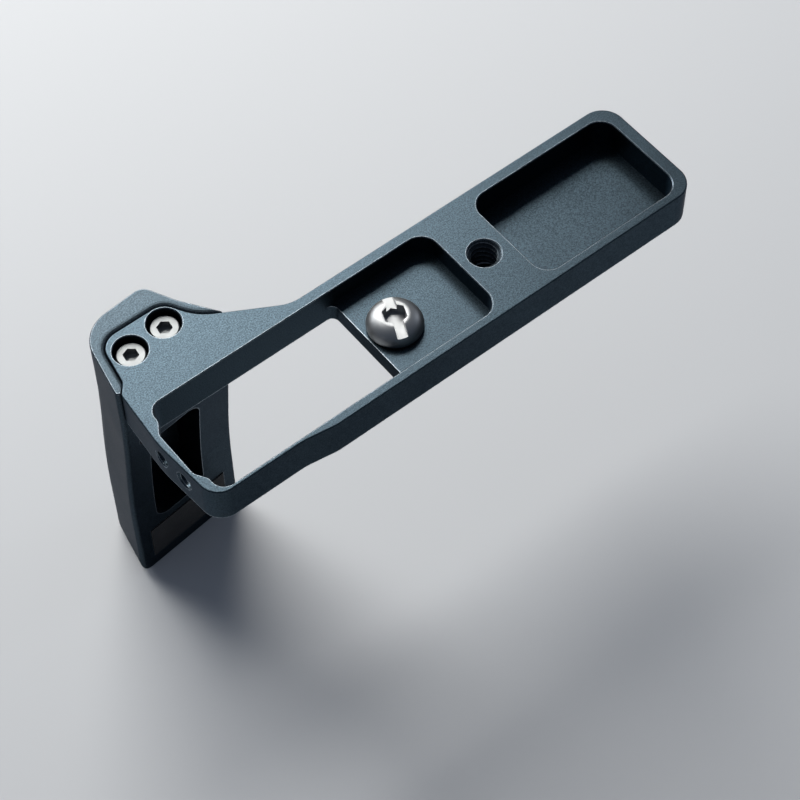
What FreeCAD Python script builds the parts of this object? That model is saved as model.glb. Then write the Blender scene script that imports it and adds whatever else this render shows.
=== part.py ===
"""Screw-on hand grip for a compact camera, in millimetres.

A thick machined base plate is screwed under the camera by one captive 1/4 inch screw, and a separate
front handle is held to the plate's ear by two socket screws. The grip lies as it does under a camera
standing on its top: +Z points out of the plate's outer face, +X runs along the plate away from the
handle, +Y points to the camera's front. The origin is on the camera screw's axis, on the seat face
that the camera is pulled against. The handle hangs from the plate towards -Z, beside the camera.
"""
import FreeCAD, Part
import math
import os

os.makedirs("parts", exist_ok=True)

V = FreeCAD.Vector

# Base plate: the outline is measured from the camera screw's axis
plate_thickness = 8.2
right_end = 61.1           # from the screw axis to the plate's plain end
left_end = 48.95           # from the screw axis to the bow of the end beside the handle
near_side = 12.6           # from the screw axis to the long edge at the camera's back
near_step = 1.0            # how far that edge steps in beside the battery window
far_side = 13.0            # from the screw axis to the long edge at the camera's front
step_inset = 26.35         # from the plate's handle end to where the long edge starts to step in
step_run = 6.4
step_radius = 9.0
right_corner_radius = 4.6
near_corner_radius = 4.0
end_slant = 0.95           # how far the handle end leans in towards the ear
near_slant = 1.1           # how far the handle end leans in towards the near edge
end_bow_place = 3.3        # from the screw axis to the bow, where the two slants meet
end_bow_radius = 25.0
plate_edge_fillet = 0.28
rim_chamfer = 0.15

# Pockets and battery window
pocket_half_width = 10.8
pocket_corner_radius = 3.6
tripod_offset = 20.6       # from the camera screw to the tripod thread
tripod_web = 10.4          # solid web that carries the tripod thread
end_wall = 2.6             # plate left beyond the end pocket
end_pocket_depth = 6.4
screw_pocket_depth = 4.4
screw_floor_length = 21.0  # floor under the camera screw, from the web to the window
window_end_wall = 1.45     # plate left beside the strap holes, at the bow
window_corner_radius = 2.5
window_cutter_radius = 1.5
strap_relief_depth = 1.5   # how far the window's end is cut back beside the strap holes
strap_relief_width = 10.0
strap_relief_run = 2.3     # each side, from the cut back to the window's end
strap_relief_radius = 2.0

# Tripod thread, drawn at its outer diameter, in a blind hole in the web
quarter_inch_diameter = 6.35
tripod_depth = 7.0
tripod_chamfer = 0.15

# Strap holes through the end wall into the window
strap_hole_diameter = 3.2
strap_hole_pitch = 6.2
strap_mouth = 0.3

# Ear of the plate, shaped round the two screws that hold the handle
ear_screw_inset = 11.65    # from the plate's handle end to midway between the two screws
ear_screw_reach = 10.15    # from the plate's far edge to midway between the two screws
ear_screw_pitch = 8.1
ear_screw_angle = 7.8      # of the row of screws, in degrees from +X
ear_wall = 3.7             # from the side screw's axis to the ear's edge round it
ear_end_wall = 4.05        # from the end screw's axis to the ear's edge beside the handle's end
ear_end_angle = 80.3       # slope of the ear's edge beside the handle's end wall
ear_end_radius = 4.0
ear_side_angle = 60.7      # slope of the ear's edge at the finger side
ear_sweep_radius = 11.0
ear_tip_inset = 24.95      # the ear's tip, where the finger side of the handle leaves the plate
ear_tip_reach = 6.2
flare_angle = 30.0
flare_radius = 8.0
ear_foot_reach = 2.8       # from the far edge to where the ear starts beside the plate's end
ear_foot_rise = 2.0
ear_foot_radius = 2.0
ear_gap = 0.12             # gap between the ear and its seat in the handle
seat_edge_width = 1.0      # rolled top edge of the handle along its seat
seat_edge_depth = 0.4
seat_edge_steps = 4

# Handle screws, M3 socket cap
cap_thread_diameter = 3.0
cap_screw_length = 12.0
cap_head_diameter = 5.5
cap_head_height = 3.0
cap_head_chamfer = 0.3
cap_hex_width = 2.5
cap_hex_depth = 1.5
cap_head_sink = 1.4        # from the outer face down to the screw's head
cap_counterbore_gap = 0.5  # radial
cap_hole_gap = 0.2         # radial
thread_gap = 0.02          # radial gap that stands for a cut thread's flanks
cap_tap_extra = 1.6        # tapped hole below the screw's tip

# Handle
handle_drop = 57.8         # from the seat face to the handle's lower end
handle_lean = 3.0          # how far the handle leans forwards below the plate
handle_lean_run = 40.0
handle_lean_bands = 8      # level bands that follow the lean's curve
handle_end_angle = 79.2    # of the handle's sides seen from above, in degrees from the X axis
handle_front_angle = 5.0
handle_side_angle = 63.0
handle_toe_angle = 56.0    # of the finger side's last stretch, which runs out to the ear's tip
handle_inner_angle = 6.3
handle_overhang = 0.85     # the end face stands proud of the plate's end
handle_front_wall = 5.3    # from the ear's edge to the handle's front, beside the side screw
handle_side_inset = 0.75   # from the ear's tip in to the line of the handle's finger side
handle_toe_step = 0.3      # from the ear's tip out to the line of that side's last stretch
handle_tip_depth = 0.5     # from the ear's tip in to the handle's inner side
handle_end_radius = 7.5
handle_nose_radius = 2.6
handle_waist_radius = 6.0
handle_heel_radius = 0.8
handle_tip_radius = 0.6
handle_top_chamfer = 0.22
foot_fillet_share = 0.96   # largest part of a corner's radius that the foot rounding may take
handle_foot_fillet = 2.4

# Lightening pocket in the handle's inner side
relief_wall = 3.2
relief_top = 13.4          # below the seat face
relief_height = 30.0
relief_end_margin = 5.5
relief_width = 12.0
relief_corner_radius = 3.0

# Rubber linings, each set in a shallow seat and a little proud of it
pad_thickness = 0.8
pad_proud = 0.2
pad_gap = 0.08
pad_corner_radius = 2.0
screw_pad_length = 15.0
screw_pad_width = 17.6
screw_pad_hole = 10.0
screw_pad_start = -3.5
end_pad_length = 27.0
end_pad_width = 15.0
handle_pad_height = 9.0
handle_pad_margin = 3.4
handle_pad_offset = 2.2    # from the seat face, and from the relief pocket's lower edge
handle_pad_edge = 0.08     # rounding of the edges along a lining

# Camera screw, kept in the plate by its necked shank
camera_head_diameter = 10.5
camera_head_height = 3.0
camera_head_rim = 0.6
camera_crown_diameter = 5.5
camera_dome_bulge = 0.48   # how far the dome's middle stands out from a straight cone
camera_hex_width = 4.0
camera_hex_depth = 2.2
coin_slot_width = 2.0
coin_slot_depth = 1.5
coin_slot_angle = 70.0
camera_neck_diameter = 4.8
camera_thread_reach = 5.0  # below the seat face when the screw is tight
camera_tip_chamfer = 0.6
camera_screw_travel = 2.0
thread_run_out = 0.35      # below the neck, inside the plate when the screw is tight
captive_lip_gap = 0.15     # radial gap between the neck and the lip that keeps the screw
shank_gap = 0.4            # radial gap round the thread where it draws back into the plate
washer_thickness = 0.4
washer_diameter = 10.2
washer_gap = 0.05          # radial gap between the washer and the neck
face_gap = 0.02            # between the head, its washer and the pocket floor

# Places worked out from the sizes above
step_start = step_inset - left_end
ear_screw_x = ear_screw_inset - left_end
ear_screw_y = far_side + ear_screw_reach
ear_tip_x = ear_tip_inset - left_end
ear_tip_y = far_side + ear_tip_reach
ear_foot_y = far_side + ear_foot_reach
pocket_floor_z = plate_thickness - screw_pocket_depth
screw_pocket_right = tripod_offset - tripod_web / 2
end_pocket_left = tripod_offset + tripod_web / 2
end_pocket_right = right_end - end_wall
window_left = window_end_wall - left_end
window_right = screw_pocket_right - screw_floor_length
cap_seat_z = plate_thickness - cap_head_sink - cap_head_height
head_seat_z = pocket_floor_z + face_gap + washer_thickness + face_gap
relief_bottom_z = -relief_top - relief_height


def direction(degrees):
    return V(math.cos(math.radians(degrees)), math.sin(math.radians(degrees)), 0)


def crossing(p, p_angle, q, q_angle):
    """Where the line through p meets the line through q, each with its angle in degrees."""
    u = direction(p_angle)
    w = direction(q_angle)
    gap = q - p
    along = (gap.x * w.y - gap.y * w.x) / (u.x * w.y - u.y * w.x)
    return p + u * along


def rounded_wire(corners, z=0.0):
    """Closed wire at height z through (corner, radius) pairs, each rounded by a tangent arc."""
    arcs = []
    for i, (corner, radius) in enumerate(corners):
        before = (corners[i - 1][0] - corner).normalize()
        after = (corners[(i + 1) % len(corners)][0] - corner).normalize()
        half = before.getAngle(after) / 2
        reach = radius / math.tan(half)
        bisector = (before + after).normalize()
        middle = corner + bisector * (radius / math.sin(half) - radius)
        arcs.append((corner + before * reach, middle, corner + after * reach))
    lift = V(0, 0, z)
    edges = []
    for i, (start, middle, end) in enumerate(arcs):
        following = arcs[(i + 1) % len(arcs)][0]
        edges.append(Part.Arc(start + lift, middle + lift, end + lift).toShape())
        edges.append(Part.LineSegment(end + lift, following + lift).toShape())
    return Part.Wire(edges)


def prism(corners, low, high):
    return Part.Face(rounded_wire(corners, low)).extrude(V(0, 0, high - low))


def box_corners(left, right, near, far, radius):
    return [(V(left, near, 0), radius), (V(right, near, 0), radius),
            (V(right, far, 0), radius), (V(left, far, 0), radius)]


def cylinder(diameter, low, high, x=0.0, y=0.0):
    return Part.makeCylinder(diameter / 2, high - low, V(x, y, low))


def hexagon(width, x, y, low, height):
    """Upright hexagonal prism, measured across its flats."""
    radius = width / 2 / math.cos(math.radians(30))
    ring = [V(x, y, low) + direction(60 * i) * radius for i in range(7)]
    return Part.Face(Part.makePolygon(ring)).extrude(V(0, 0, height))


def flat_edges(shape, z):
    """Edges of a shape that lie wholly at height z."""
    return [e for e in shape.Edges if abs(e.BoundBox.ZMin - z) < 1e-4 and abs(e.BoundBox.ZMax - z) < 1e-4]


def cap_screw_axes():
    """Plan positions of the two handle screws, the one nearer the handle's end first."""
    middle = V(ear_screw_x, ear_screw_y, 0)
    half = direction(ear_screw_angle) * (ear_screw_pitch / 2)
    return middle - half, middle + half


def ear_front_line(grow):
    """A point on the ear's front edge, moved outwards by grow, beside the side screw."""
    side_screw = cap_screw_axes()[1]
    return side_screw + V(0, ear_wall + grow, 0)


def plate_outline(grow=0.0):
    """Corners of the plate seen from above, anticlockwise, with the ear's edges moved out by grow."""
    end_screw, side_screw = cap_screw_axes()
    front = ear_front_line(grow)
    wall = ear_wall + grow
    end_edge = end_screw + direction(ear_end_angle + 90) * (ear_end_wall + grow)
    side_slope = 180 - ear_side_angle
    side_edge = side_screw + direction(side_slope - 90) * wall
    flare_slope = 180 - flare_angle
    flare = V(ear_tip_x, ear_tip_y, 0) + direction(flare_slope - 90) * grow
    end_x = end_slant - left_end - grow
    foot = V(end_x, ear_foot_y - grow, 0)
    return [
        (V(step_start, -near_side, 0), step_radius),
        (V(right_end, -near_side, 0), right_corner_radius),
        (V(right_end, far_side, 0), right_corner_radius),
        (crossing(V(0, far_side, 0), 0, flare, flare_slope), flare_radius),
        (crossing(side_edge, side_slope, flare, flare_slope), ear_sweep_radius),
        (crossing(front, 0, side_edge, side_slope), wall),
        (crossing(front, 0, end_edge, ear_end_angle), ear_end_radius + grow),
        (crossing(end_edge, ear_end_angle, foot + V(0, ear_foot_rise, 0), 0), ear_foot_radius),
        (foot, ear_foot_radius),
        (V(-left_end, end_bow_place, 0), end_bow_radius),
        (V(near_slant - left_end, near_step - near_side, 0), near_corner_radius),
        (V(step_start - step_run, near_step - near_side, 0), step_radius),
    ]


def plate_blank():
    """The plate's outline with rounded outer edges."""
    blank = prism(plate_outline(), 0, plate_thickness)
    return blank.makeFillet(plate_edge_fillet, flat_edges(blank, plate_thickness))


def window_end():
    """Corners of the window's handle end, far side first, cut back between its corners for the strap."""
    shallow = window_left + strap_relief_depth
    half = strap_relief_width / 2
    mouth = half + strap_relief_run
    return [(V(shallow, pocket_half_width, 0), window_corner_radius),
            (V(shallow, mouth, 0), strap_relief_radius),
            (V(window_left, half, 0), strap_relief_radius),
            (V(window_left, -half, 0), strap_relief_radius),
            (V(shallow, -mouth, 0), strap_relief_radius),
            (V(shallow, -pocket_half_width, 0), window_corner_radius)]


def window_outline(right, radius):
    """Outline from the window's handle end to a plain end at right, with that end's corner radius."""
    plain_end = [(V(right, -pocket_half_width, 0), radius), (V(right, pocket_half_width, 0), radius)]
    return plain_end + window_end()


def plate_pockets():
    """The end pocket, the long pocket over screw and battery window, and the window itself."""
    end_pocket = box_corners(end_pocket_left, end_pocket_right, -pocket_half_width,
                             pocket_half_width, pocket_corner_radius)
    long_pocket = window_outline(screw_pocket_right, pocket_corner_radius)
    window = window_outline(window_right, window_cutter_radius)
    return [prism(end_pocket, plate_thickness - end_pocket_depth, plate_thickness),
            prism(long_pocket, pocket_floor_z, plate_thickness),
            prism(window, 0, pocket_floor_z)]


def chamfered_hole(diameter, chamfer, low, high, x, y):
    """Cutter for an upright hole whose mouth at its upper end is chamfered."""
    mouth = Part.makeCone(diameter / 2, diameter / 2 + chamfer, chamfer, V(x, y, high - chamfer))
    return cylinder(diameter, low, high, x, y).fuse(mouth)


def tripod_hole():
    """Blind hole for the tripod thread, so that a long screw can't reach the camera."""
    return chamfered_hole(quarter_inch_diameter, tripod_chamfer, plate_thickness - tripod_depth,
                          plate_thickness, tripod_offset, 0)


def camera_screw_hole():
    """Hole under the camera screw: a narrow lip that keeps it, over room for its thread."""
    lip_diameter = camera_neck_diameter + 2 * captive_lip_gap
    room_diameter = quarter_inch_diameter + 2 * shank_gap
    room_top = thread_run_out + camera_screw_travel + face_gap
    return cylinder(lip_diameter, room_top, pocket_floor_z).fuse(cylinder(room_diameter, 0, room_top))


def cap_screw_holes():
    """Counterbored holes through the ear."""
    holes = []
    bore = cap_head_diameter + 2 * cap_counterbore_gap
    hole = cap_thread_diameter + 2 * cap_hole_gap
    for axis in cap_screw_axes():
        counterbore = chamfered_hole(bore, rim_chamfer, cap_seat_z, plate_thickness, axis.x, axis.y)
        holes.append(counterbore.fuse(cylinder(hole, 0, cap_seat_z, axis.x, axis.y)))
    return holes


def end_face_x(y):
    """Where the plate's handle end lies at y, on the slant each side of its bow."""
    if y > end_bow_place:
        return end_slant * (y - end_bow_place) / (ear_foot_y - end_bow_place) - left_end
    return near_slant * (end_bow_place - y) / (end_bow_place + near_side - near_step) - left_end


def strap_holes():
    """Two holes along X through the end wall, with eased outer mouths."""
    holes = []
    radius = strap_hole_diameter / 2
    for y in (-strap_hole_pitch / 2, strap_hole_pitch / 2):
        start = V(end_face_x(y) - strap_mouth, y, plate_thickness / 2)
        hole = Part.makeCylinder(radius, window_end_wall * 3, start, V(1, 0, 0))
        mouth = Part.makeCone(radius + 2 * strap_mouth, radius, 2 * strap_mouth, start, V(1, 0, 0))
        holes.append(hole.fuse(mouth))
    return holes


def seat_pad_corners(grow=0.0):
    """Outlines of the two linings under the plate."""
    screw_pad = box_corners(screw_pad_start - grow, screw_pad_start + screw_pad_length + grow,
                            -screw_pad_width / 2 - grow, screw_pad_width / 2 + grow,
                            pad_corner_radius + grow)
    middle = (end_pocket_left + end_pocket_right) / 2
    end_pad = box_corners(middle - end_pad_length / 2 - grow, middle + end_pad_length / 2 + grow,
                          -end_pad_width / 2 - grow, end_pad_width / 2 + grow,
                          pad_corner_radius + grow)
    return screw_pad, end_pad


def seat_pads():
    """Two rubber linings on the seat face, the first with a hole round the camera screw."""
    top = pad_thickness - pad_proud
    screw_pad, end_pad = seat_pad_corners()
    first = prism(screw_pad, -pad_proud, top).cut(cylinder(screw_pad_hole, -pad_proud, top))
    return Part.makeCompound([first, prism(end_pad, -pad_proud, top)])


def seat_pad_recesses():
    """Shallow seats for the linings, with the plate's own boss left round the camera screw."""
    depth = pad_thickness - pad_proud + face_gap
    screw_pad, end_pad = seat_pad_corners(pad_gap)
    boss = cylinder(screw_pad_hole - 2 * pad_gap, 0, depth)
    return [prism(screw_pad, 0, depth).cut(boss), prism(end_pad, 0, depth)]


def base_plate():
    """The machined plate with its pockets, window, holes and ear."""
    plate = plate_blank().cut(plate_pockets())
    rim = [e for e in flat_edges(plate, plate_thickness) if inside_pockets(e)]
    plate = plate.makeChamfer(rim_chamfer, rim)
    cuts = [tripod_hole(), camera_screw_hole()]
    cuts += cap_screw_holes() + strap_holes() + seat_pad_recesses()
    return plate.cut(cuts)


def inside_pockets(edge):
    """True for an edge of a pocket's rim, false for one of the plate's outline."""
    centre = edge.BoundBox.Center
    within_width = abs(centre.y) < pocket_half_width + rim_chamfer
    return within_width and window_left - rim_chamfer < centre.x < end_pocket_right + rim_chamfer


def lean(z):
    """Forward shift of the handle at height z, easing in and out below the seat face."""
    s = min(max(-z / handle_lean_run, 0.0), 1.0)
    return handle_lean * s * s * (3 - 2 * s)


def handle_lines():
    """The handle's end, front, finger side, toe and inner side from above, each as a point and its angle."""
    end_point = V(end_slant - left_end - handle_overhang, ear_foot_y, 0)
    front_point = ear_front_line(handle_front_wall)
    tip = V(ear_tip_x, ear_tip_y, 0)
    side_slope = 180 - handle_side_angle
    side_point = tip - direction(side_slope - 90) * handle_side_inset
    toe_slope = 180 - handle_toe_angle
    toe_point = tip + direction(toe_slope - 90) * handle_toe_step
    inner_point = tip - V(0, handle_tip_depth, 0)
    return ((end_point, handle_end_angle), (front_point, handle_front_angle), (side_point, side_slope),
            (toe_point, toe_slope), (inner_point, handle_inner_angle))


def handle_section(z):
    """Corners of the handle's level section: heel, tip, waist of the finger side, nose, front corner."""
    end, front, side, toe, inner = handle_lines()
    shift = V(0, lean(z), 0)
    return [(crossing(*end, *inner) + shift, handle_heel_radius),
            (crossing(*toe, *inner) + shift, handle_tip_radius),
            (crossing(*side, *toe) + shift, handle_waist_radius),
            (crossing(*side, *front) + shift, handle_nose_radius),
            (crossing(*end, *front) + shift, handle_end_radius)]


def leaning_levels():
    """Heights of the handle's sections where it leans."""
    return [-handle_lean_run * i / handle_lean_bands for i in range(handle_lean_bands + 1)]


def leaning_solid(section, levels):
    """Solid through the same section at several heights, in straight bands that follow the lean."""
    return Part.makeLoft([rounded_wire(section(z), z) for z in levels], True, True)


def handle_pad_section(depth, proud, grow):
    """Section of a lining against the handle's inner side, from depth inside it to proud of it."""
    def section(z):
        heel, tip = [corner for corner, radius in handle_section(z)[:2]]
        along = direction(handle_inner_angle)
        inwards = direction(handle_inner_angle + 90)
        start = heel + along * (handle_pad_margin - grow)
        end = tip - along * (handle_pad_margin - grow)
        return [(start - inwards * proud, handle_pad_edge), (end - inwards * proud, handle_pad_edge),
                (end + inwards * depth, handle_pad_edge), (start + inwards * depth, handle_pad_edge)]
    return section


def handle_pad_heights():
    """Top and bottom of each lining on the handle's inner side."""
    upper_top = -handle_pad_offset
    lower_top = relief_bottom_z - handle_pad_offset
    return [(upper_top, upper_top - handle_pad_height), (lower_top, lower_top - handle_pad_height)]


def handle_linings(depth, proud, grow):
    """The linings, or with grow their seats, above and below the lightening pocket."""
    linings = []
    for top, bottom in handle_pad_heights():
        levels = [top + grow, (top + bottom) / 2, bottom - grow]
        linings.append(leaning_solid(handle_pad_section(depth, proud, grow), levels))
    return linings


def relief_pocket():
    """Lightening pocket, cut from the handle's inner side towards its front."""
    end, front, _, _, inner = handle_lines()
    heel = crossing(*end, *inner)
    left = heel.x + relief_end_margin
    front_y = crossing(V(left, 0, 0), 90, *front).y
    depth = front_y - relief_wall
    block = prism(box_corners(left, left + relief_width, relief_bottom_z, -relief_top,
                              relief_corner_radius), -depth, -heel.y / 2)
    return block.rotate(V(0, 0, 0), V(1, 0, 0), 90)


def cap_tapped_holes():
    """Holes for the handle screws' threads, drawn at their outer diameter."""
    tip_z = cap_seat_z - cap_screw_length
    bore = cap_thread_diameter + 2 * thread_gap
    return [cylinder(bore, tip_z - cap_tap_extra, 0, axis.x, axis.y) for axis in cap_screw_axes()]


def foot_form():
    """Block flush with the handle's outer sides, with the rounding of their foot edges."""
    shift = V(0, lean(-handle_drop), 0)
    end, front, side, toe = [(point + shift, angle) for point, angle in handle_lines()[:4]]
    back = (V(0, -near_side, 0), 0)
    corners = [(crossing(*end, *back), handle_nose_radius), (crossing(*toe, *back), handle_nose_radius),
               (crossing(*side, *toe), handle_waist_radius), (crossing(*side, *front), handle_nose_radius),
               (crossing(*end, *front), handle_end_radius)]
    form = prism(corners, -handle_drop, plate_thickness)
    limit = foot_fillet_share * min(handle_end_radius, handle_nose_radius)
    return form.makeFillet(min(handle_foot_fillet, limit), flat_edges(form, -handle_drop))


def ear_seat():
    """Cutter for the handle's seat: the ear's outline and its gap, rounded outwards at the top edge."""
    above = plate_thickness * 2
    wires = []
    for i in range(seat_edge_steps + 1):
        turn = math.radians(90 * i / seat_edge_steps)
        grow = ear_gap + seat_edge_width * (1 - math.cos(turn))
        height = plate_thickness - seat_edge_depth * (1 - math.sin(turn))
        wires.append(rounded_wire(plate_outline(grow), height))
    wires.append(rounded_wire(plate_outline(grow), above))
    return [prism(plate_outline(ear_gap), 0, above), Part.makeLoft(wires, True, True)]


def handle():
    """The front handle, leaning forwards below the plate, with its seat for the plate's ear."""
    top = prism(handle_section(0), 0, plate_thickness)
    top = top.makeChamfer(handle_top_chamfer, flat_edges(top, plate_thickness))
    leaning = leaning_solid(handle_section, leaning_levels())
    foot = prism(handle_section(-handle_drop), -handle_drop, -handle_lean_run).common(foot_form())
    body = top.fuse([leaning, foot])
    pad_depth = pad_thickness - pad_proud + face_gap
    cuts = ear_seat() + [relief_pocket()] + cap_tapped_holes()
    cuts += handle_linings(pad_depth, pad_thickness, pad_gap)
    return body.cut(cuts)


def handle_pads():
    """Two rubber linings on the side of the handle that meets the camera."""
    return Part.makeCompound(handle_linings(pad_thickness - pad_proud, pad_proud, 0.0))


def handle_screws():
    """Two M3 socket cap screws, sunk in the ear and threaded into the handle."""
    screws = []
    head_top = cap_seat_z + cap_head_height
    for axis in cap_screw_axes():
        head = cylinder(cap_head_diameter, cap_seat_z, head_top, axis.x, axis.y)
        head = head.makeChamfer(cap_head_chamfer, flat_edges(head, head_top))
        shank = cylinder(cap_thread_diameter, cap_seat_z - cap_screw_length, cap_seat_z, axis.x, axis.y)
        socket = hexagon(cap_hex_width, axis.x, axis.y, head_top - cap_hex_depth, cap_hex_depth)
        screws.append(head.fuse(shank).removeSplitter().cut(socket))
    return Part.makeCompound(screws)


def camera_screw_profile():
    """Half section of the camera screw: thread, neck and domed head with a flat crown."""
    thread_r = quarter_inch_diameter / 2
    neck_r = camera_neck_diameter / 2
    head_r = camera_head_diameter / 2
    crown_r = camera_crown_diameter / 2
    tip_z = -camera_thread_reach
    rim_z = head_seat_z + camera_head_rim
    crown_z = head_seat_z + camera_head_height
    rim = V(head_r, 0, rim_z)
    crown = V(crown_r, 0, crown_z)
    outwards = V(crown_z - rim_z, 0, head_r - crown_r).normalize()
    dome_middle = (rim + crown) * 0.5 + outwards * camera_dome_bulge
    straight = [V(0, 0, tip_z), V(thread_r - camera_tip_chamfer, 0, tip_z),
                V(thread_r, 0, tip_z + camera_tip_chamfer), V(thread_r, 0, 0),
                V(neck_r, 0, thread_run_out), V(neck_r, 0, head_seat_z), V(head_r, 0, head_seat_z), rim]
    edges = [Part.LineSegment(a, b).toShape() for a, b in zip(straight, straight[1:])]
    edges.append(Part.Arc(rim, dome_middle, crown).toShape())
    edges.append(Part.LineSegment(crown, V(0, 0, crown_z)).toShape())
    edges.append(Part.LineSegment(V(0, 0, crown_z), straight[0]).toShape())
    return Part.Face(Part.Wire(edges))


def camera_screw():
    """The 1/4 inch screw with a hexagon socket and a coin slot across its dome."""
    screw = camera_screw_profile().revolve(V(0, 0, 0), V(0, 0, 1), 360)
    crown_z = head_seat_z + camera_head_height
    socket = hexagon(camera_hex_width, 0, 0, crown_z - camera_hex_depth, camera_hex_depth)
    half_length = camera_head_diameter
    slot = Part.makeBox(2 * half_length, coin_slot_width, coin_slot_depth,
                        V(-half_length, -coin_slot_width / 2, crown_z - coin_slot_depth))
    turned = [socket, slot]
    for cutter in turned:
        cutter.rotate(V(0, 0, 0), V(0, 0, 1), coin_slot_angle)
    return screw.cut(turned)


def screw_washer():
    """Thin nylon washer between the camera screw's head and the pocket floor."""
    low = pocket_floor_z + face_gap
    ring = cylinder(washer_diameter, low, low + washer_thickness)
    return ring.cut(cylinder(camera_neck_diameter + 2 * washer_gap, low, low + washer_thickness))


pieces = {
    "base_plate": base_plate(),
    "handle": handle(),
    "handle_screws": handle_screws(),
    "camera_screw": camera_screw(),
    "screw_washer": screw_washer(),
    "seat_pads": seat_pads(),
    "handle_pads": handle_pads(),
}

for name, shape in pieces.items():
    shape.exportStep("parts/" + name + ".step")
    box = shape.BoundBox
    print(name, "valid", shape.isValid(), "solids", len(shape.Solids), "volume", round(shape.Volume, 1),
          "box", [round(v, 2) for v in (box.XMin, box.XMax, box.YMin, box.YMax, box.ZMin, box.ZMax)])
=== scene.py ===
"""Looks of the camera hand grip: anodised plate and handle, turned steel screws, threads and rubber linings.

Places are in the CAD model's own frame: the origin is on the camera screw's axis on the seat face, +Z points
out of the plate's outer face and +X along the plate away from the handle. The named sizes are millimetres.
"""
import math

import bmesh
import bpy
import numpy as np
from mathutils import Matrix, Vector


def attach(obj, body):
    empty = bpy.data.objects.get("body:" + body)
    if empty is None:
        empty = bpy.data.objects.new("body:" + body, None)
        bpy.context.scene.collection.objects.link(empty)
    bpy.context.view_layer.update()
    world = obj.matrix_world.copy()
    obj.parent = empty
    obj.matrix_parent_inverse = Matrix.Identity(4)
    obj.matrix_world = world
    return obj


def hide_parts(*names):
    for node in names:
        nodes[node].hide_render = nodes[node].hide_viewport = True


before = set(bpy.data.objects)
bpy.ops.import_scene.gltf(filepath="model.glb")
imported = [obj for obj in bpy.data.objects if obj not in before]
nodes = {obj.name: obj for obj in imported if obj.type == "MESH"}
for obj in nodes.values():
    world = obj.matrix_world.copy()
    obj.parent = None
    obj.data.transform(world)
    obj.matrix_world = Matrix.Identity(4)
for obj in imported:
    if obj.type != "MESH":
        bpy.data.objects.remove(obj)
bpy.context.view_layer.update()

MM = 0.001

# Sizes in millimetres and angles in degrees. Those of the new pieces follow the CAD model's.
PLATE_THICKNESS = 8.2
HANDLE_FOOT = -57.8
FLOOR_GAP = 0.2
QUARTER_INCH = 6.35           # outer diameter of the tripod thread
QUARTER_INCH_PITCH = 1.27     # 20 turns to the inch
THREAD_DEPTH = 0.6134         # of an outer thread, in pitches
TAPPED_DEPTH = 0.54           # of an inner thread, in pitches

TRIPOD = {"x": 20.6, "chamfer": 0.15, "depth": 7.0, "floor_relief": 0.4, "top_gap": 0.02,
          "crest_gap": 0.01, "root_gap": 0.02, "wall": 0.12, "around": 144, "rows": 170}

CAMERA_SCREW = {"tip": -5.0, "tip_chamfer": 0.6, "neck_start": 0.35, "neck_r": 2.4, "neck_fillet": 0.05,
                "head_seat": 4.24, "rim": 4.84, "head_r": 5.25, "rim_chamfer": 0.12,
                "crown": 7.45, "crown_r": 2.75, "crown_ring": 0.3, "bulge": 0.48, "dome_points": 22,
                "thread_step": 0.05, "thread_fade": 0.6, "thread_start": 0.2, "around": 128,
                "socket": 4.1, "socket_depth": 2.4, "slot": 2.0, "slot_depth": 1.35, "slot_overrun": 2,
                "angle": 70.0, "edge": 0.07}

CAP_SCREW = {"tip": -8.2, "tip_chamfer": 0.3, "thread_r": 1.5, "pitch": 0.5, "thread_start": 0.1,
             "thread_end": 1.0, "thread_fade": 0.3, "thread_step": 0.03,
             "head_seat": 3.8, "head_top": 6.8, "head_r": 2.75, "seat_chamfer": 0.1,
             "knurl_top": 0.45, "knurl_depth": 0.09, "ridges": 36, "knurl_margin": 0.01,
             "shoulder_r": 0.02, "shoulder": 0.25, "shoulder_fillet": 0.03,
             "bevel_r": 0.22, "bevel_fillet": 0.06, "flat_r": 0.34, "around": 216,
             "socket": 2.6, "socket_depth": 1.5, "socket_angle": 21.4, "smooth_angle": 26.0}
EAR_SCREW_MIDDLE = (-37.3, 23.15)
EAR_SCREW_PITCH = 8.1
EAR_SCREW_ANGLE = 7.8
CUT_CLEAR = 1                 # how far a cutter stands above the surface that it cuts


# Surfaces

def surface(name, points, faces, smooth_angle=30.0):
    """Mesh object from points in millimetres and quads, its doubles merged and its faces turned outwards."""
    mesh = bpy.data.meshes.new(name)
    mesh.from_pydata((np.asarray(points) * MM).tolist(), [], np.asarray(faces).tolist())
    work = bmesh.new()
    work.from_mesh(mesh)
    bmesh.ops.remove_doubles(work, verts=work.verts, dist=1e-7)
    bmesh.ops.dissolve_degenerate(work, edges=work.edges, dist=1e-8)
    bmesh.ops.recalc_face_normals(work, faces=work.faces)
    work.to_mesh(mesh)
    work.free()
    piece = bpy.data.objects.new(name, mesh)
    bpy.context.scene.collection.objects.link(piece)
    smooth(piece, smooth_angle)
    return piece


def smooth(piece, angle):
    """Shades a piece smooth, with sharp edges wherever two faces meet at more than the angle in degrees."""
    work = bmesh.new()
    work.from_mesh(piece.data)
    limit = math.radians(angle)
    for edge in work.edges:
        edge.smooth = len(edge.link_faces) == 2 and edge.calc_face_angle(0.0) < limit
    for face in work.faces:
        face.smooth = True
    work.to_mesh(piece.data)
    work.free()


def grid_faces(rows, columns):
    """Quads of a grid of rows by columns whose last column joins its first."""
    row, column = np.meshgrid(np.arange(rows - 1), np.arange(columns), indexing="ij")
    following = (column + 1) % columns
    corners = [row * columns + column, row * columns + following,
               (row + 1) * columns + following, (row + 1) * columns + column]
    return np.stack(corners, -1).reshape(-1, 4)


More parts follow.
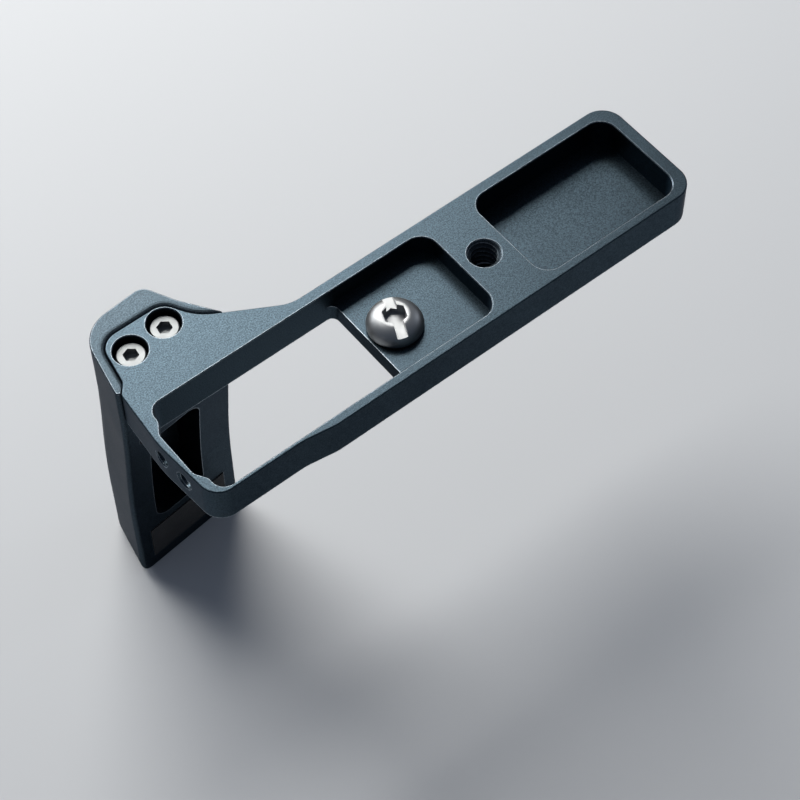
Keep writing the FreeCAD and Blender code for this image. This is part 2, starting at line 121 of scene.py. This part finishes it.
def turned(radius, height, around, relief, middle=(0.0, 0.0)):
    """Points and quads of a turned surface.

    Point (s, angle) is (radius(s) cos angle, radius(s) sin angle, height(s)), about a vertical line through
    middle. relief(angle, height) is taken off the radius, for threads and knurls.
    """
    angle = np.linspace(0, 2 * math.pi, around, endpoint=False)
    r = np.repeat(np.asarray(radius, float)[:, None], around, 1)
    z = np.repeat(np.asarray(height, float)[:, None], around, 1)
    turn = np.repeat(angle[None, :], len(r), 0)
    r = np.maximum(r - relief(turn, z), 0.0)
    points = np.stack([middle[0] + r * np.cos(turn), middle[1] + r * np.sin(turn), z], -1)
    return points.reshape(-1, 3), grid_faces(len(r), around)


def filleted(corners, steps=6):
    """Radius and height along a profile of (radius, height, fillet) corners.

    Each corner with a fillet becomes a quadratic curve that leaves its two sides at the fillet's distance.
    """
    points = np.array([corner[:2] for corner in corners], float)
    reach = np.array([corner[2] for corner in corners], float)
    line = [points[0]]
    for i in range(1, len(points) - 1):
        if reach[i] <= 0:
            line.append(points[i])
            continue
        before = points[i - 1] - points[i]
        after = points[i + 1] - points[i]
        start = points[i] + before / np.linalg.norm(before) * reach[i]
        end = points[i] + after / np.linalg.norm(after) * reach[i]
        t = np.linspace(0, 1, steps)[:, None]
        line.extend((1 - t) ** 2 * start + 2 * t * (1 - t) * points[i] + t ** 2 * end)
    line.append(points[-1])
    line = np.array(line)
    return line[:, 0], line[:, 1]


def spaced(radius, height, low, high, step):
    """The same profile with extra points between two heights, no further apart than the step."""
    r, z = [radius[0]], [height[0]]
    for i in range(1, len(radius)):
        inside = min(height[i - 1], height[i]) >= low - 1e-6 and max(height[i - 1], height[i]) <= high + 1e-6
        count = max(1, math.ceil(abs(height[i] - height[i - 1]) / step)) if inside else 1
        share = np.arange(1, count + 1) / count
        r.extend(radius[i - 1] + (radius[i] - radius[i - 1]) * share)
        z.extend(height[i - 1] + (height[i] - height[i - 1]) * share)
    return np.array(r), np.array(z)


def thread_groove(turn, z, pitch):
    """Depth of a 60 degree thread's groove, from 0 on its crest to 1 at its root.

    The place along the pitch is height over pitch less the turn, so the groove climbs one pitch a turn. The
    crest is an eighth of the pitch wide and the root a quarter, with straight flanks between.
    """
    place = np.mod(z / pitch - turn / (2 * math.pi), 1.0)
    from_crest = np.abs(place - 0.5) * 2
    return np.clip(((1 - from_crest) - 0.125) / 0.625, 0, 1)


def thread_relief(pitch, low, high, fade):
    """Relief for turned(): an outer thread between two heights, faded in and out."""
    def relief(turn, z):
        inside = np.clip((z - low) / fade, 0, 1) * np.clip((high - z) / fade, 0, 1)
        return THREAD_DEPTH * pitch * thread_groove(turn, z, pitch) * inside
    return relief


def hexagon_block(width, low, high, angle, middle=(0.0, 0.0)):
    """Upright six-sided block, measured across its flats."""
    corner = np.radians(angle) + np.arange(6) * math.pi / 3
    radius = width / 2 / math.cos(math.pi / 6)
    ring = np.stack([middle[0] + radius * np.cos(corner), middle[1] + radius * np.sin(corner)], -1)
    return block(ring, low, high)


def slot_block(length, width, low, high, angle):
    """Upright rectangular block through the origin."""
    half = np.array([[-length, -width], [length, -width], [length, width], [-length, width]]) / 2
    c, s = math.cos(math.radians(angle)), math.sin(math.radians(angle))
    return block(half @ np.array([[c, s], [-s, c]]), low, high)


def block(ring, low, high):
    """Closed upright prism between two heights over a plan ring."""
    count = len(ring)
    points = np.concatenate([np.c_[ring, np.full(count, low)], np.c_[ring, np.full(count, high)]])
    sides = [[i, (i + 1) % count, count + (i + 1) % count, count + i] for i in range(count)]
    ends = [list(range(count))[::-1], list(range(count, 2 * count))]
    mesh = bpy.data.meshes.new("cutter")
    mesh.from_pydata((points * MM).tolist(), [], sides + ends)
    cutter = bpy.data.objects.new("cutter", mesh)
    bpy.context.scene.collection.objects.link(cutter)
    return cutter


def carve(piece, cutters, edge_width=0.0):
    """Cuts the cutters out of a piece, and rounds its sharp edges where a width in millimetres is given."""
    for cutter in cutters:
        cut = piece.modifiers.new("cut", "BOOLEAN")
        cut.operation = "DIFFERENCE"
        cut.solver = "EXACT"
        cut.object = cutter
    if edge_width:
        edge = piece.modifiers.new("edge", "BEVEL")
        edge.width = edge_width * MM
        edge.segments = 3
        edge.limit_method = "ANGLE"
        edge.angle_limit = math.radians(32.0)
        edge.use_clamp_overlap = True
        flat = piece.modifiers.new("flat", "WEIGHTED_NORMAL")
        flat.keep_sharp = True
    bpy.context.view_layer.update()
    made = bpy.data.meshes.new_from_object(piece.evaluated_get(bpy.context.evaluated_depsgraph_get()))
    piece.modifiers.clear()
    piece.data = made
    for cutter in cutters:
        bpy.data.objects.remove(cutter)
    return piece


# Materials

WAVE_PERIOD = 0.314    # between two rings of the wave texture, at a scale of 1
CLOUD_MM = 14          # patches of handling and of the dye bath on the anodised metal
SMUDGE_MM = 1.6        # fingermarks on the steel
DUST_MM = 5            # patches of dust on the rubber
FLOW_MM = 0.8          # unevenness that the nylon keeps from its flow in the mould


def linear(code):
    """Linear red, green, blue and alpha of an sRGB hex colour."""
    value = np.array([int(code[i:i + 2], 16) for i in (1, 3, 5)]) / 255
    value = np.where(value <= 0.04045, value / 12.92, ((value + 0.055) / 1.055) ** 2.4)
    return (*value.tolist(), 1.0)


def add_node(tree, kind, inputs=None, **settings):
    """Adds a node. settings are its properties; inputs are values or the sockets that feed it."""
    node = tree.nodes.new(kind)
    for name, value in settings.items():
        setattr(node, name, value)
    for name, value in (inputs or {}).items():
        if isinstance(value, bpy.types.NodeSocket):
            tree.links.new(value, node.inputs[name])
        else:
            node.inputs[name].default_value = value
    return node


def empty_material(name):
    """New material with an empty node tree."""
    material = bpy.data.materials.new(name)
    material.use_nodes = True
    material.node_tree.nodes.clear()
    return material, material.node_tree


def anodised_aluminium(name, dye, worn_and_highlit, grain_mm, roughness):
    """Bead-blasted, black anodised aluminium: a fine even grain, a cool grey sheen, edges lighter from wear
    and a painted highlight.

    Blasting leaves a grain of about 0.1 mm, too fine to show, so it is drawn at grain_mm.
    """
    material, tree = empty_material(name)
    place = add_node(tree, "ShaderNodeTexCoord").outputs["Object"]
    grain = add_node(tree, "ShaderNodeTexNoise", {"Vector": place, "Scale": 1 / (grain_mm * MM),
                                                  "Detail": 2.0, "Roughness": 0.6})
    cloud = add_node(tree, "ShaderNodeTexNoise", {"Vector": place, "Scale": 1 / (CLOUD_MM * MM),
                                                  "Detail": 3.0})
    speckle = add_node(tree, "ShaderNodeMapRange", {"Value": grain.outputs["Fac"], "From Min": 0.3,
                                                    "From Max": 0.7, "To Min": 0.52, "To Max": 1.48})
    patch = add_node(tree, "ShaderNodeMapRange", {"Value": cloud.outputs["Fac"], "From Min": 0.3,
                                                  "From Max": 0.7, "To Min": 0.93, "To Max": 1.07})
    tone = add_node(tree, "ShaderNodeMath", {0: speckle.outputs[0], 1: patch.outputs[0]},
                    operation="MULTIPLY")
    # Sharp edges are painted lighter: partly the dye worn thin on edges that a bead blaster also rounds,
    # partly a painted highlight along the rims
    edge_normal = add_node(tree, "ShaderNodeBevel", {"Radius": 0.32 * MM}, samples=10)
    flat_normal = add_node(tree, "ShaderNodeNewGeometry")
    likeness = add_node(tree, "ShaderNodeVectorMath",
                        {0: edge_normal.outputs[0], 1: flat_normal.outputs["Normal"]},
                        operation="DOT_PRODUCT")
    edge = add_node(tree, "ShaderNodeMapRange", {"Value": likeness.outputs["Value"], "From Min": 0.99,
                                                 "From Max": 0.90, "To Min": 0.0, "To Max": 1.0})
    # Ambient occlusion keeps this lighter paint, wear and painted highlight both, off the edges shut in a
    # pocket's corners
    occlusion = add_node(tree, "ShaderNodeAmbientOcclusion", {"Distance": 0.5 * MM}, samples=6)
    stands_out = add_node(tree, "ShaderNodeMapRange", {"Value": occlusion.outputs["AO"], "From Min": 0.7,
                                                       "From Max": 0.95, "To Min": 0.0, "To Max": 1.0})
    wear_and_highlight = add_node(tree, "ShaderNodeMath", {0: edge.outputs[0], 1: stands_out.outputs[0]},
                    operation="MULTIPLY")
    # Sockets 6 and 7 of a Mix node are its two colours, and output 2 is the mixed one
    dye_and_highlight = add_node(tree, "ShaderNodeMix", {0: wear_and_highlight.outputs[0], 6: linear(dye), 7: linear(worn_and_highlit)},
                    data_type="RGBA")
    shade = add_node(tree, "ShaderNodeVectorMath", {0: dye_and_highlight.outputs[2], "Scale": tone.outputs[0]},
                     operation="SCALE")
    rough = add_node(tree, "ShaderNodeMapRange", {"Value": cloud.outputs["Fac"], "From Min": 0.3,
                                                  "From Max": 0.7, "To Min": roughness - 0.03,
                                                  "To Max": roughness + 0.03})
    bump = add_node(tree, "ShaderNodeBump", {"Height": grain.outputs["Fac"], "Strength": 0.5,
                                             "Distance": 0.03 * MM})
    # At a low angle the light's longer way through the dyed oxide takes more of it
    shader = add_node(tree, "ShaderNodeBsdfPrincipled",
                      {"Base Color": shade.outputs[0], "Metallic": 1.0, "Roughness": rough.outputs[0],
                       "Specular Tint": (0.45, 0.45, 0.47, 1.0), "Normal": bump.outputs[0]})
    add_node(tree, "ShaderNodeOutputMaterial", {"Surface": shader.outputs[0]})
    return material


def turned_steel(name, colour, roughness, ring_mm, ring_depth_mm, middle=(0.0, 0.0)):
    """Stainless steel turned on a lathe: fine rings about the screw's axis, and a slightly uneven sheen.

    The tool's real marks are finer than ring_mm, and are drawn that coarse so that they can show.
    """
    material, tree = empty_material(name)
    place = add_node(tree, "ShaderNodeTexCoord").outputs["Object"]
    centred = add_node(tree, "ShaderNodeMapping", {"Vector": place,
                                                   "Location": (-middle[0] * MM, -middle[1] * MM, 0.0)})
    rings = add_node(tree, "ShaderNodeTexWave", {"Vector": centred.outputs[0],
                                                 "Scale": WAVE_PERIOD / (ring_mm * MM),
                                                 "Distortion": 0.4, "Detail": 2.0},
                     wave_type="RINGS", rings_direction="Z")
    smudge = add_node(tree, "ShaderNodeTexNoise", {"Vector": place, "Scale": 1 / (SMUDGE_MM * MM),
                                                   "Detail": 4.0})
    rough = add_node(tree, "ShaderNodeMapRange", {"Value": smudge.outputs["Fac"], "From Min": 0.3,
                                                  "From Max": 0.7, "To Min": roughness * 0.93,
                                                  "To Max": roughness * 1.07})
    bump = add_node(tree, "ShaderNodeBump", {"Height": rings.outputs["Fac"], "Strength": 0.5,
                                             "Distance": ring_depth_mm * MM})
    shader = add_node(tree, "ShaderNodeBsdfPrincipled",
                      {"Base Color": linear(colour), "Metallic": 1.0, "Roughness": rough.outputs[0],
                       "Normal": bump.outputs[0]})
    add_node(tree, "ShaderNodeOutputMaterial", {"Surface": shader.outputs[0]})
    return material


def moulded_rubber(name, colour, grain_mm):
    """Moulded rubber sheet: matt, with a fine even pebble that keeps the grip from slipping."""
    material, tree = empty_material(name)
    place = add_node(tree, "ShaderNodeTexCoord").outputs["Object"]
    pebble = add_node(tree, "ShaderNodeTexVoronoi", {"Vector": place, "Scale": 1 / (grain_mm * MM)},
                      feature="SMOOTH_F1")
    dust = add_node(tree, "ShaderNodeTexNoise", {"Vector": place, "Scale": 1 / (DUST_MM * MM),
                                                 "Detail": 4.0})
    rough = add_node(tree, "ShaderNodeMapRange", {"Value": dust.outputs["Fac"], "To Min": 0.7, "To Max": 0.9})
    bump = add_node(tree, "ShaderNodeBump", {"Height": pebble.outputs["Distance"], "Strength": 0.6,
                                             "Distance": 0.08 * MM}, invert=True)
    shader = add_node(tree, "ShaderNodeBsdfPrincipled",
                      {"Base Color": linear(colour), "Roughness": rough.outputs[0], "IOR": 1.52,
                       "Normal": bump.outputs[0]})
    add_node(tree, "ShaderNodeOutputMaterial", {"Surface": shader.outputs[0]})
    return material


def moulded_nylon(name, colour):
    """Moulded nylon: dark, faintly waxy, with a soft unevenness."""
    material, tree = empty_material(name)
    place = add_node(tree, "ShaderNodeTexCoord").outputs["Object"]
    flow = add_node(tree, "ShaderNodeTexNoise", {"Vector": place, "Scale": 1 / (FLOW_MM * MM),
                                                 "Detail": 3.0})
    rough = add_node(tree, "ShaderNodeMapRange", {"Value": flow.outputs["Fac"], "To Min": 0.38,
                                                  "To Max": 0.55})
    bump = add_node(tree, "ShaderNodeBump", {"Height": flow.outputs["Fac"], "Strength": 0.2,
                                             "Distance": 0.02 * MM})
    shader = add_node(tree, "ShaderNodeBsdfPrincipled",
                      {"Base Color": linear(colour), "Roughness": rough.outputs[0], "IOR": 1.53,
                       "Normal": bump.outputs[0]})
    add_node(tree, "ShaderNodeOutputMaterial", {"Surface": shader.outputs[0]})
    return material


def painted_board(name, colour):
    """Matt painted board under the object."""
    material, tree = empty_material(name)
    shader = add_node(tree, "ShaderNodeBsdfPrincipled",
                      {"Base Color": linear(colour), "Roughness": 0.9, "Specular IOR Level": 0.2})
    add_node(tree, "ShaderNodeOutputMaterial", {"Surface": shader.outputs[0]})
    return material


# Each worn colour is the lighter paint on the edges: worn dye and a painted highlight in one
plate_finish = anodised_aluminium("anodised_aluminium_plate", dye="#3c4850", worn_and_highlit="#a9b4bc",
                                  grain_mm=0.24, roughness=0.35)
handle_finish = anodised_aluminium("anodised_aluminium_handle", dye="#3b454c", worn_and_highlit="#98a2aa",
                                   grain_mm=0.24, roughness=0.38)
screw_steel = turned_steel("polished_stainless_screw", "#a2a4a5", roughness=0.46, ring_mm=0.16,
                           ring_depth_mm=0.002)
# The thread's dye is darker than the plate's: painted shade for the inside of the hole
tapped_thread_painted_dark = anodised_aluminium("anodised_aluminium_thread_painted_dark", dye="#2e353a", worn_and_highlit="#7d868c",
                                   grain_mm=0.3, roughness=0.42)
washer_nylon = moulded_nylon("moulded_nylon_washer", "#1b1c1d")
lining_rubber = moulded_rubber("moulded_rubber_lining", "#202123", grain_mm=0.45)


def dress(piece, material, body=None):
    """Gives a piece its material and, where it is a new one and the CAD body it rides on."""
    piece.data.materials.clear()
    piece.data.materials.append(material)
    for face in piece.data.polygons:
        face.material_index = 0
    if body:
        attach(piece, body)


# Camera screw: turned, threaded, with a hexagon socket and a coin slot

def dome_profile():
    """Radius and height of the dome from its rim to its crown: a straight cone plus a parabola."""
    s = np.linspace(0, 1, CAMERA_SCREW["dome_points"])
    rim = np.array([CAMERA_SCREW["head_r"], CAMERA_SCREW["rim"]])
    crown = np.array([CAMERA_SCREW["crown_r"], CAMERA_SCREW["crown"]])
    out = np.array([crown[1] - rim[1], rim[0] - crown[0]])
    out = out / np.linalg.norm(out)
    line = rim + (crown - rim) * s[:, None] + out * (CAMERA_SCREW["bulge"] * 4 * s * (1 - s))[:, None]
    return line[:, 0], line[:, 1]


def make_camera_screw():
    """A turned profile from the thread's tip to the crown, the thread as relief, then socket and slot."""
    d = CAMERA_SCREW
    thread_r = QUARTER_INCH / 2
    low = [(0, d["tip"], 0), (thread_r - d["tip_chamfer"], d["tip"], 0.0),
           (thread_r, d["tip"] + d["tip_chamfer"], 0.0), (thread_r, 0.0, 0.0),
           (d["neck_r"], d["neck_start"], d["neck_fillet"]), (d["neck_r"], d["head_seat"], 0.0),
           (d["head_r"] - d["rim_chamfer"], d["head_seat"], 0.0),
           (d["head_r"], d["head_seat"] + d["rim_chamfer"], 0.0), (d["head_r"], d["rim"], 0.0)]
    r, z = filleted(low)
    r, z = spaced(r, z, d["tip"], 0.0, d["thread_step"])
    dome_r, dome_z = dome_profile()
    r = np.concatenate([r, dome_r[1:], [d["crown_r"] - d["crown_ring"], 0.0]])
    z = np.concatenate([z, dome_z[1:], [d["crown"], d["crown"]]])
    relief = thread_relief(QUARTER_INCH_PITCH, d["tip"] - d["thread_start"], 0.0, d["thread_fade"])
    piece = surface("camera_screw_turned", *turned(r, z, d["around"], relief))
    top = d["crown"] + CUT_CLEAR
    cutters = [hexagon_block(d["socket"], d["crown"] - d["socket_depth"], top, d["angle"]),
               slot_block(2 * d["head_r"] + d["slot_overrun"], d["slot"], d["crown"] - d["slot_depth"], top,
                          d["angle"])]
    carve(piece, cutters, d["edge"])
    dress(piece, screw_steel, "screw")
    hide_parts("camera_screw")


# Handle screws: knurled heads with a hexagon socket, threaded shanks

def cap_screw_relief():
    """Relief for turned(): a thread on the shank, and straight ridges on the head's side.

    The ridges follow a cosine of the turn, and start and end just inside the side's two edges.
    """
    d = CAP_SCREW
    thread = thread_relief(d["pitch"], d["tip"] - d["thread_start"], d["head_seat"] - d["thread_end"],
                           d["thread_fade"])
    low = d["head_seat"] + d["seat_chamfer"] - d["knurl_margin"]
    high = d["head_top"] - d["knurl_top"] + d["knurl_margin"]

    def relief(turn, z):
        ridge = 0.5 + 0.5 * np.cos(turn * d["ridges"])
        return thread(turn, z) + d["knurl_depth"] * ridge * ((z > low) & (z < high))
    return relief


def make_cap_screws():
    """Two turned profiles from the shank's tip to the flat top of the head, each with its socket cut."""
    d = CAP_SCREW
    corners = [(0, d["tip"], 0), (d["thread_r"] - d["tip_chamfer"], d["tip"], 0),
               (d["thread_r"], d["tip"] + d["tip_chamfer"], 0), (d["thread_r"], d["head_seat"], 0),
               (d["head_r"] - d["seat_chamfer"], d["head_seat"], 0),
               (d["head_r"], d["head_seat"] + d["seat_chamfer"], 0),
               (d["head_r"], d["head_top"] - d["knurl_top"], 0),
               (d["head_r"] - d["shoulder_r"], d["head_top"] - d["shoulder"], d["shoulder_fillet"]),
               (d["head_r"] - d["bevel_r"], d["head_top"], d["bevel_fillet"]),
               (d["head_r"] - d["flat_r"], d["head_top"], 0), (0, d["head_top"], 0)]
    r, z = filleted(corners, steps=5)
    r, z = spaced(r, z, d["tip"], d["head_seat"], d["thread_step"])
    angle = math.radians(EAR_SCREW_ANGLE)
    for name, side in (("handle_screw_end", -1), ("handle_screw_side", 1)):
        middle = (EAR_SCREW_MIDDLE[0] + side * EAR_SCREW_PITCH / 2 * math.cos(angle),
                  EAR_SCREW_MIDDLE[1] + side * EAR_SCREW_PITCH / 2 * math.sin(angle))
        piece = surface(name, *turned(r, z, d["around"], cap_screw_relief(), middle))
        carve(piece, [hexagon_block(d["socket"], d["head_top"] - d["socket_depth"], d["head_top"] + CUT_CLEAR,
                                    d["socket_angle"], middle)])
        smooth(piece, d["smooth_angle"])
        steel = turned_steel("satin_stainless_" + name, "#8f9293", roughness=0.52, ring_mm=0.12,
                             ring_depth_mm=0.0002, middle=middle)
        dress(piece, steel, "grip_frame")
        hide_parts("handle_screws")


# Tripod thread, cut into the web of the plate

def make_tripod_thread():
    """Ring whose inner side is the tapped thread, from near the hole's floor up to the chamfer's cone.

    The inner radius is the wall's less the thread's ridge, widened by the cone near the top.
    """
    d = TRIPOD
    wall = QUARTER_INCH / 2
    depth = TAPPED_DEPTH * QUARTER_INCH_PITCH
    low = PLATE_THICKNESS - d["depth"] + d["floor_relief"]
    high = PLATE_THICKNESS - d["chamfer"] - d["top_gap"]
    z = np.linspace(low, high, d["rows"])
    turn = np.linspace(0, 2 * math.pi, d["around"], endpoint=False)[None, :]
    ridge = 1 - thread_groove(turn, z[:, None], QUARTER_INCH_PITCH)
    cone = wall + d["chamfer"] - (PLATE_THICKNESS - z)
    inner = np.minimum(np.maximum(wall - d["crest_gap"] - depth * ridge, cone[:, None]), wall + d["root_gap"])
    outer = np.full((1, d["around"]), wall + d["wall"])
    radius = np.concatenate([outer, inner, outer, outer])
    height = np.concatenate([[low], z, [high, low]])[:, None] * np.ones((1, d["around"]))
    points = np.stack([d["x"] + radius * np.cos(turn), radius * np.sin(turn), height], -1)
    piece = surface("tripod_thread", points.reshape(-1, 3), grid_faces(len(radius), d["around"]),
                    smooth_angle=50.0)
    dress(piece, tapped_thread_painted_dark, "grip_frame")


make_camera_screw()
make_cap_screws()
make_tripod_thread()

dress(nodes["base_plate"], plate_finish)
dress(nodes["handle"], handle_finish)
dress(nodes["screw_washer"], washer_nylon)
dress(nodes["seat_pads"], lining_rubber)
dress(nodes["handle_pads"], lining_rubber)


# Floor, light and camera

def flat_floor(height, size, material):
    """Square floor at a height, in metres."""
    mesh = bpy.data.meshes.new("floor")
    half = size / 2
    corners = [(-half, -half, height), (half, -half, height), (half, half, height), (-half, half, height)]
    mesh.from_pydata(corners, [], [(0, 1, 2, 3)])
    floor = bpy.data.objects.new("floor", mesh)
    bpy.context.scene.collection.objects.link(floor)
    floor.data.materials.append(material)


def soft_box(name, where, size, watts, colour):
    """Rectangular lamp at a point, aimed at the origin."""
    lamp = bpy.data.lights.new(name, "AREA")
    lamp.shape = "RECTANGLE"
    lamp.size, lamp.size_y = size
    lamp.energy = watts
    lamp.color = linear(colour)[:3]
    holder = bpy.data.objects.new(name, lamp)
    bpy.context.scene.collection.objects.link(holder)
    turn = Vector(where).to_track_quat("Z", "Y").to_matrix().to_4x4()
    holder.matrix_world = Matrix.Translation(where) @ turn


def sky(colour, strength):
    """Even light from all round."""
    world = bpy.data.worlds.new("studio")
    world.use_nodes = True
    tree = world.node_tree
    tree.nodes.clear()
    background = add_node(tree, "ShaderNodeBackground", {"Color": linear(colour), "Strength": strength})
    add_node(tree, "ShaderNodeOutputWorld", {"Surface": background.outputs[0]})
    bpy.context.scene.world = world


def photo_camera(where, azimuth, elevation, roll, focal_mm):
    """Camera at a point, looking back along the direction that its azimuth and elevation name."""
    a, e, r = map(math.radians, (azimuth, elevation, roll))
    back = Vector((math.sin(a) * math.cos(e), -math.cos(a) * math.cos(e), math.sin(e)))
    right = Vector((0, 0, 1)).cross(back).normalized()
    up = back.cross(right)
    turned_right = right * math.cos(r) + up * math.sin(r)
    turned_up = up * math.cos(r) - right * math.sin(r)
    lens = bpy.data.cameras.new("photo_camera")
    lens.sensor_width = 36.0
    lens.lens = focal_mm
    lens.clip_start, lens.clip_end = 0.02, 20.0
    camera = bpy.data.objects.new("photo_camera", lens)
    bpy.context.scene.collection.objects.link(camera)
    turn = Matrix((turned_right, turned_up, back)).transposed().to_4x4()
    camera.matrix_world = Matrix.Translation(where) @ turn
    bpy.context.scene.camera = camera


# Places and sizes in metres. The broad window stands behind the object and gives its top faces their sheen,
# the low one lights the edges that face it, and the side one gives the domed head its second highlight.
flat_floor((HANDLE_FOOT - FLOOR_GAP) * MM, size=6.0, material=painted_board("painted_board", "#c9cbcd"))
soft_box("window_light", where=(0.078, 0.499, 0.456), size=(0.55, 0.415), watts=6.6, colour="#fffdf9")
soft_box("low_window", where=(-0.2, 0.85, 0.2), size=(0.5, 0.3), watts=2.8, colour="#f8fbff")
soft_box("side_window", where=(0.6, -0.06, 0.16), size=(0.16, 0.16), watts=0.2, colour="#eef4ff")
sky("#c9d8f4", strength=0.17)
photo_camera(where=(-0.14955, -0.192525, 0.34687), azimuth=-38.01, elevation=56.41, roll=-0.763,
             focal_mm=105.968)
bpy.context.scene.view_settings.view_transform = "Standard"
